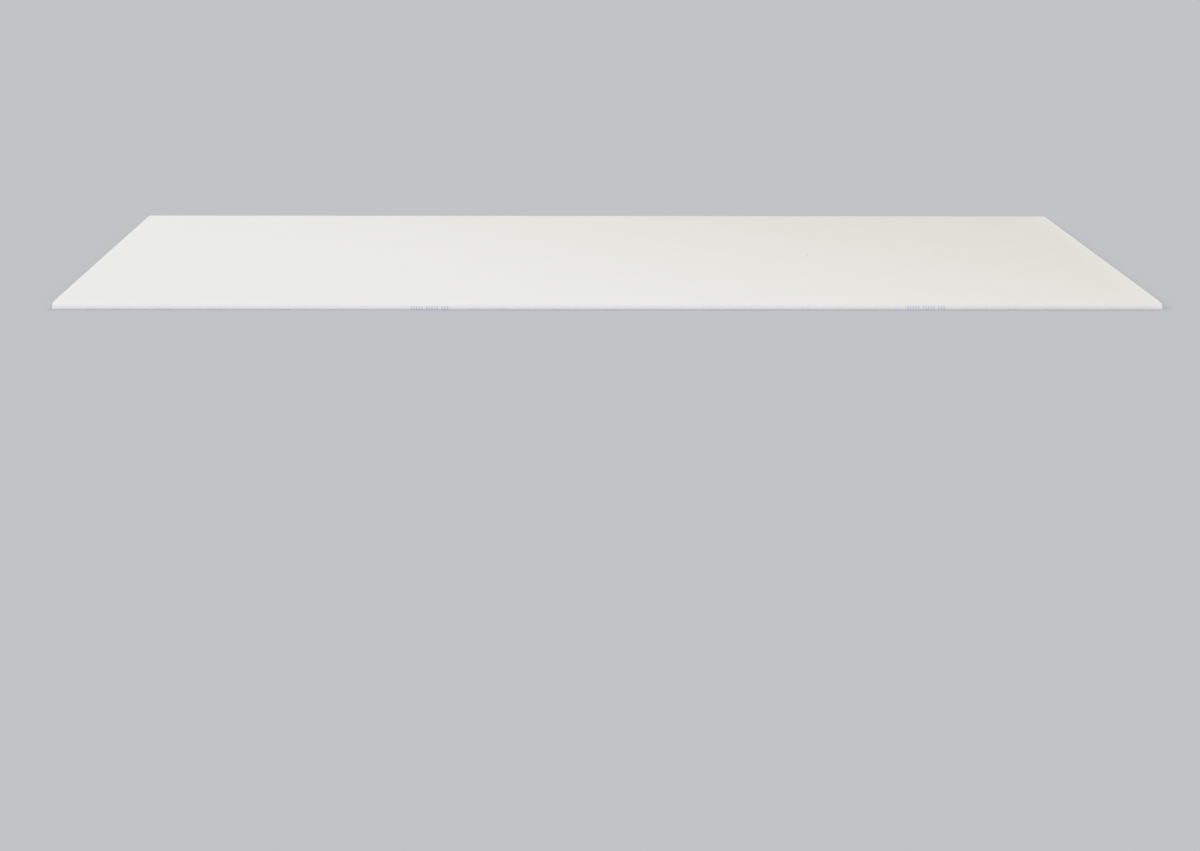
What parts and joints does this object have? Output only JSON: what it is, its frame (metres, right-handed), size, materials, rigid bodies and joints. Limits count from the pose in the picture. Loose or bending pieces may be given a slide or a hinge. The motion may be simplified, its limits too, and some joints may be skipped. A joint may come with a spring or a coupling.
{
  "type": "drywall sheet",
  "caption": "Flat rectangular sheet of drywall: gypsum board faced with off-white paper, with tapered half-round long edges, square-cut ends and a flat back.",
  "frame": {"origin": "middle of the back face, which is the underside of the sheet as it lies", "axes": "+X along the sheet from one cut end to the other, +Y across it between the tapered long edges, +Z out of the room face"},
  "size_m": [2, 1.25, 0.0125],
  "materials": {
    "face_paper": "matt off-white face paper that wraps the long edges; greyer liner paper on the back; bare white gypsum at the cut ends"
  },
  "bodies": {
    "root": {"drywall_sheet": "face_paper"}
  },
  "joints": []
}
